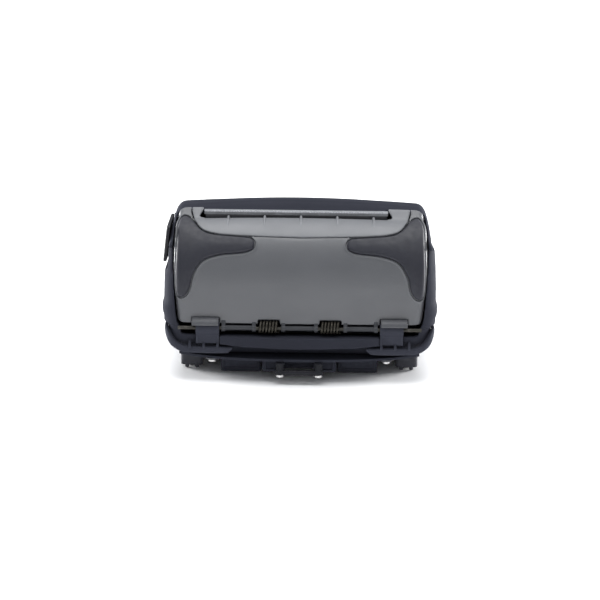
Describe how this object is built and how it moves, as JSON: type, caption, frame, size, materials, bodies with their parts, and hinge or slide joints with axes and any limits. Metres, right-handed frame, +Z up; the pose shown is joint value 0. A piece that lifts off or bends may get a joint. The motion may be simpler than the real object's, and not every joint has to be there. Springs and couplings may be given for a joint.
{
  "type": "portable label printer",
  "caption": "Rugged portable label printer with a hinged media door, platen roller, battery and sloped control panel",
  "frame": {"origin": "centre of the footprint on the surface that the feet stand on", "axes": "+X to the right seen from the media door, +Y from the media door towards the control panel, +Z up"},
  "size_m": [0.16, 0.1462, 0.096],
  "materials": {
    "housing": "fine moulded grain, dark blue-grey",
    "door": "fine satin grain, mid grey",
    "bezel": "fine satin grain, light grey",
    "pad": "soft overmoulded grip",
    "rubber": "matt rubber",
    "steel": "plain drawn steel",
    "aluminium": "plain aluminium",
    "inner": "plain moulded",
    "board": "solder mask",
    "ceramic": "fired ceramic",
    "gear": "acetal",
    "glass": "tinted clear window",
    "key": "silicone"
  },
  "bodies": {
    "body": {"base_tub": "housing", "bottom_plate": "housing", "front_housing": "housing", "tear_bar": "aluminium", "hinge_pin": "steel", "hinge_bracket_left": "housing", "hinge_bracket_right": "housing", "hinge_spring_left": "steel", "hinge_spring_right": "steel", "bumper_rail_left": "housing", "bumper_rail_right": "housing", "media_cradle": "inner", "chassis_plate_left": "inner", "chassis_plate_right": "inner", "print_head": "ceramic", "head_heatsink": "aluminium", "stepper_motor": "steel", "main_board": "board", "lcd_module": "inner", "lcd_window": "glass", "keypad_board": "board", "foot_rail_left": "rubber", "foot_rail_right": "rubber", "base_block_left": "housing", "base_block_right": "housing", "strap_mount": "housing", "strap_bar": "steel", "strap_screw_left": "steel", "strap_screw_right": "steel", "base_screw_left": "steel", "base_screw_right": "steel", "usb_socket": "steel", "dc_socket": "inner", "media_sensor": "inner", "guide_rail": "steel"},
    "door": {"door_shell": "door", "door_bezel": "bezel", "grip_pad_left": "pad", "grip_pad_right": "pad", "door_hinge_leaf": "door", "hinge_cap_left": "door", "hinge_cap_right": "door", "platen_bracket_left": "inner", "platen_bracket_right": "inner"},
    "platen": {"platen_shaft": "steel", "platen_roller": "rubber", "platen_gear": "gear"},
    "upper_idler": {"idler_gear_upper": "gear"},
    "lower_idler": {"idler_gear_lower": "gear"},
    "pinion": {"motor_pinion": "gear"},
    "latch": {"latch_shaft": "steel", "latch_lever": "housing"},
    "left_guide": {"media_guide_left": "inner"},
    "right_guide": {"media_guide_right": "inner"},
    "battery": {"battery_pack": "housing"},
    "battery_release": {"battery_latch": "key"},
    "power_key": {"key_power": "key"},
    "feed_key": {"key_feed": "key"},
    "mode_key": {"key_mode": "key"},
    "port_flap": {"port_cover": "rubber"}
  },
  "joints": [
    {"name": "door_hinge", "type": "hinge", "parent": "body", "child": "door", "pos_m": [0, -0.064, 0.031], "axis": [1, 0, 0], "range_deg": [0, 90]},
    {"name": "platen_spin", "type": "hinge", "parent": "door", "child": "platen", "pos_m": [0, -0.033, 0.0779], "axis": [1, 0, 0], "continuous": true},
    {"name": "upper_idler_spin", "type": "hinge", "parent": "body", "child": "upper_idler", "pos_m": [0.0646, -0.01958, 0.06919], "axis": [1, 0, 0], "continuous": true},
    {"name": "lower_idler_spin", "type": "hinge", "parent": "body", "child": "lower_idler", "pos_m": [0.0646, 0.00194, 0.06461], "axis": [1, 0, 0], "continuous": true},
    {"name": "pinion_spin", "type": "hinge", "parent": "body", "child": "pinion", "pos_m": [0.0646, 0.01857, 0.06108], "axis": [1, 0, 0], "continuous": true},
    {"name": "latch_pivot", "type": "hinge", "parent": "body", "child": "latch", "pos_m": [0, -0.013, 0.085], "axis": [-1, 0, 0], "range_deg": [0, 12], "stiffness_Nm_per_rad": 0.05, "springref_deg": -11.46},
    {"name": "left_guide_slide", "type": "slide", "parent": "body", "child": "left_guide", "axis": [1, 0, 0], "range_m": [0, 0.03]},
    {"name": "right_guide_slide", "type": "slide", "parent": "body", "child": "right_guide", "axis": [1, 0, 0], "range_m": [-0.03, 0]},
    {"name": "battery_slide", "type": "slide", "parent": "body", "child": "battery", "axis": [0, 1, 0], "range_m": [0, 0.062]},
    {"name": "battery_release_slide", "type": "slide", "parent": "battery", "child": "battery_release", "axis": [0, 0, -1], "range_m": [0, 0.0016], "stiffness_N_per_m": 300, "springref_m": -0.001},
    {"name": "power_press", "type": "slide", "parent": "body", "child": "power_key", "axis": [0, -0.3256, -0.9455], "range_m": [0, 0.0008], "stiffness_N_per_m": 400, "springref_m": -0.0005},
    {"name": "feed_press", "type": "slide", "parent": "body", "child": "feed_key", "axis": [0, -0.3256, -0.9455], "range_m": [0, 0.0008], "stiffness_N_per_m": 400, "springref_m": -0.0005},
    {"name": "mode_press", "type": "slide", "parent": "body", "child": "mode_key", "axis": [0, -0.3256, -0.9455], "range_m": [0, 0.0008], "stiffness_N_per_m": 400, "springref_m": -0.0005},
    {"name": "port_flap_hinge", "type": "hinge", "parent": "body", "child": "port_flap", "pos_m": [0.0786, 0.036, 0.0474], "axis": [0, 1, 0], "range_deg": [0, 90]}
  ],
  "couplings": [
    {"joint": "upper_idler_spin", "follows": "platen_spin", "ratio": -0.6},
    {"joint": "lower_idler_spin", "follows": "platen_spin", "ratio": 0.5},
    {"joint": "pinion_spin", "follows": "platen_spin", "ratio": -1.2},
    {"joint": "right_guide_slide", "follows": "left_guide_slide", "ratio": -1}
  ]
}
